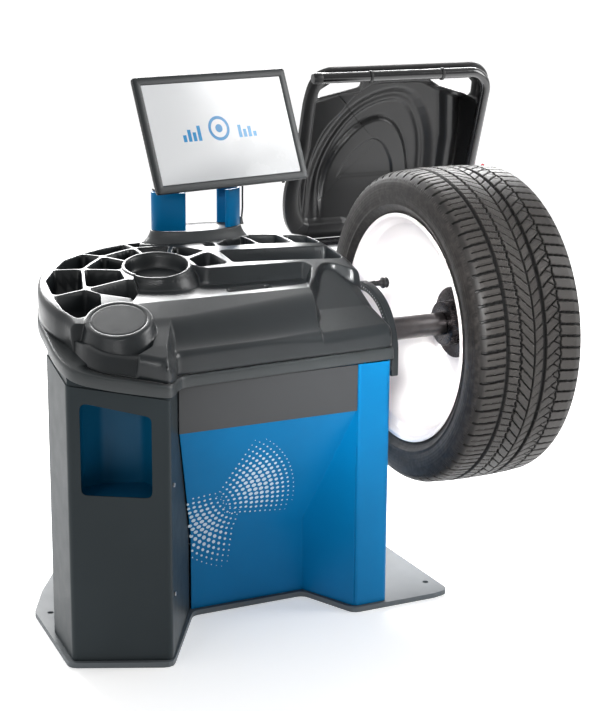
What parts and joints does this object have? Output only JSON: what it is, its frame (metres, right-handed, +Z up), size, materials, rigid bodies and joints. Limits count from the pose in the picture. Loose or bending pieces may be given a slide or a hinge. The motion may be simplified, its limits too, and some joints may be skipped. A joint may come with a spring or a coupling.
{
  "type": "car wheel balancer",
  "caption": "Car wheel balancer: cabinet with weight tray, tilting screen, motor-driven spindle holding a clamped wheel, swinging distance gauge and hinged wheel guard.",
  "frame": {"origin": "on the floor, directly below the spindle axis, in the plane of the cabinet's right side", "axes": "+Z up, +X along the spindle from the cabinet to the wheel, -Y towards the operator"},
  "size_m": [1.442, 1.0515, 1.1818],
  "materials": {
    "blue_paint": "semi-gloss",
    "band_grey": "satin",
    "pod_paint": "semi-gloss",
    "tray_plastic": "satin",
    "black_plastic": "satin",
    "guard_plastic": "semi-gloss",
    "screen_glass": "gloss",
    "dark_steel": "satin",
    "bright_steel": "satin",
    "cast_iron": "matte",
    "rim_paint": "semi-gloss",
    "tyre_rubber": "matte",
    "red_plastic": "gloss",
    "belt_rubber": "matte"
  },
  "bodies": {
    "cabinet": {"base_plate": "cast_iron", "front_panel": "blue_paint", "front_band": "band_grey", "right_side_panel": "blue_paint", "pod_cover": "pod_paint", "pod_liner": "blue_paint", "pod_screw_1": "bright_steel", "pod_screw_2": "bright_steel", "left_side_panel": "pod_paint", "rear_panel": "blue_paint", "power_inlet": "black_plastic", "weight_tray": "tray_plastic", "tray_skirt": "black_plastic", "monitor_collar": "black_plastic", "monitor_upright_left": "blue_paint", "monitor_upright_right": "blue_paint", "monitor_head": "black_plastic", "monitor_cable": "black_plastic", "spindle_housing": "cast_iron", "bearing_front": "bright_steel", "bearing_rear": "bright_steel", "chassis_post": "cast_iron", "force_sensor_rear": "bright_steel", "force_sensor_front": "bright_steel", "drive_motor": "cast_iron", "motor_bracket": "dark_steel", "drive_belt": "belt_rubber", "encoder_reader": "black_plastic", "control_box": "band_grey", "gauge_guide": "black_plastic", "guard_bracket": "cast_iron", "guard_switch": "black_plastic"},
    "spindle": {"spindle_shaft": "dark_steel", "hub_flange": "dark_steel", "centring_cone": "bright_steel", "spindle_pulley": "cast_iron", "encoder_disc": "bright_steel", "wheel_rim": "rim_paint", "tyre": "tyre_rubber", "tyre_valve": "black_plastic"},
    "motor_rotor": {"motor_pulley": "cast_iron"},
    "nut_slider": {"nut_cup": "black_plastic"},
    "nut_grip": {"nut_sleeve": "dark_steel"},
    "gauge_carriage": {"gauge_rod": "bright_steel"},
    "gauge": {"gauge_arm": "tray_plastic", "gauge_probe": "black_plastic"},
    "guard": {"guard_tube": "black_plastic", "guard_end_cap": "black_plastic", "guard_shell": "guard_plastic", "guard_tie_left": "black_plastic", "guard_tie_right": "black_plastic", "guard_hook": "red_plastic"},
    "monitor_neck": {"monitor_swivel_post": "black_plastic"},
    "monitor": {"monitor_mount_plate": "dark_steel", "monitor_housing": "black_plastic", "monitor_bezel": "black_plastic", "monitor_screen": "screen_glass"},
    "monitor_key": {"monitor_button": "black_plastic"},
    "power_key": {"power_rocker": "red_plastic"}
  },
  "joints": [
    {"name": "spindle_spin", "type": "hinge", "parent": "cabinet", "child": "spindle", "pos_m": [0, 0, 0.6], "axis": [1, 0, 0], "continuous": true},
    {"name": "motor_spin", "type": "hinge", "parent": "cabinet", "child": "motor_rotor", "pos_m": [-0.25, 0.135, 0.46], "axis": [1, 0, 0], "continuous": true},
    {"name": "nut_slide", "type": "slide", "parent": "spindle", "child": "nut_slider", "axis": [1, 0, 0], "range_m": [0, 0.05]},
    {"name": "nut_turn", "type": "hinge", "parent": "nut_slider", "child": "nut_grip", "pos_m": [0.36, 0, 0.6], "axis": [1, 0, 0], "continuous": true},
    {"name": "gauge_slide", "type": "slide", "parent": "cabinet", "child": "gauge_carriage", "axis": [1, 0, 0], "range_m": [0, 0.12]},
    {"name": "gauge_swing", "type": "hinge", "parent": "gauge_carriage", "child": "gauge", "pos_m": [0.02, -0.163, 0.56], "axis": [1, 0, 0], "range_deg": [0, 30]},
    {"name": "guard_swing", "type": "hinge", "parent": "cabinet", "child": "guard", "pos_m": [0, 0.55, 0.7], "axis": [1, 0, 0], "range_deg": [0, 38]},
    {"name": "monitor_turn", "type": "hinge", "parent": "cabinet", "child": "monitor_neck", "pos_m": [-0.20012, 0.35904, 1.02365], "axis": [0, 0, 1], "range_deg": [-20, 20]},
    {"name": "monitor_tilt", "type": "hinge", "parent": "monitor_neck", "child": "monitor", "pos_m": [-0.20012, 0.35904, 1.02365], "axis": [0.9796, 0.2011, 0], "range_deg": [-8, 10]},
    {"name": "monitor_key_press", "type": "slide", "parent": "monitor", "child": "monitor_key", "axis": [-0.0753, 0.367, 0.9272], "range_m": [0, 0.0015], "stiffness_N_per_m": 300},
    {"name": "power_key_rock", "type": "hinge", "parent": "cabinet", "child": "power_key", "pos_m": [-0.4025, 0.343, 0.1225], "axis": [1, 0, 0], "range_deg": [-12, 0]}
  ],
  "couplings": [
    {"joint": "motor_spin", "follows": "spindle_spin", "ratio": 2.25}
  ]
}
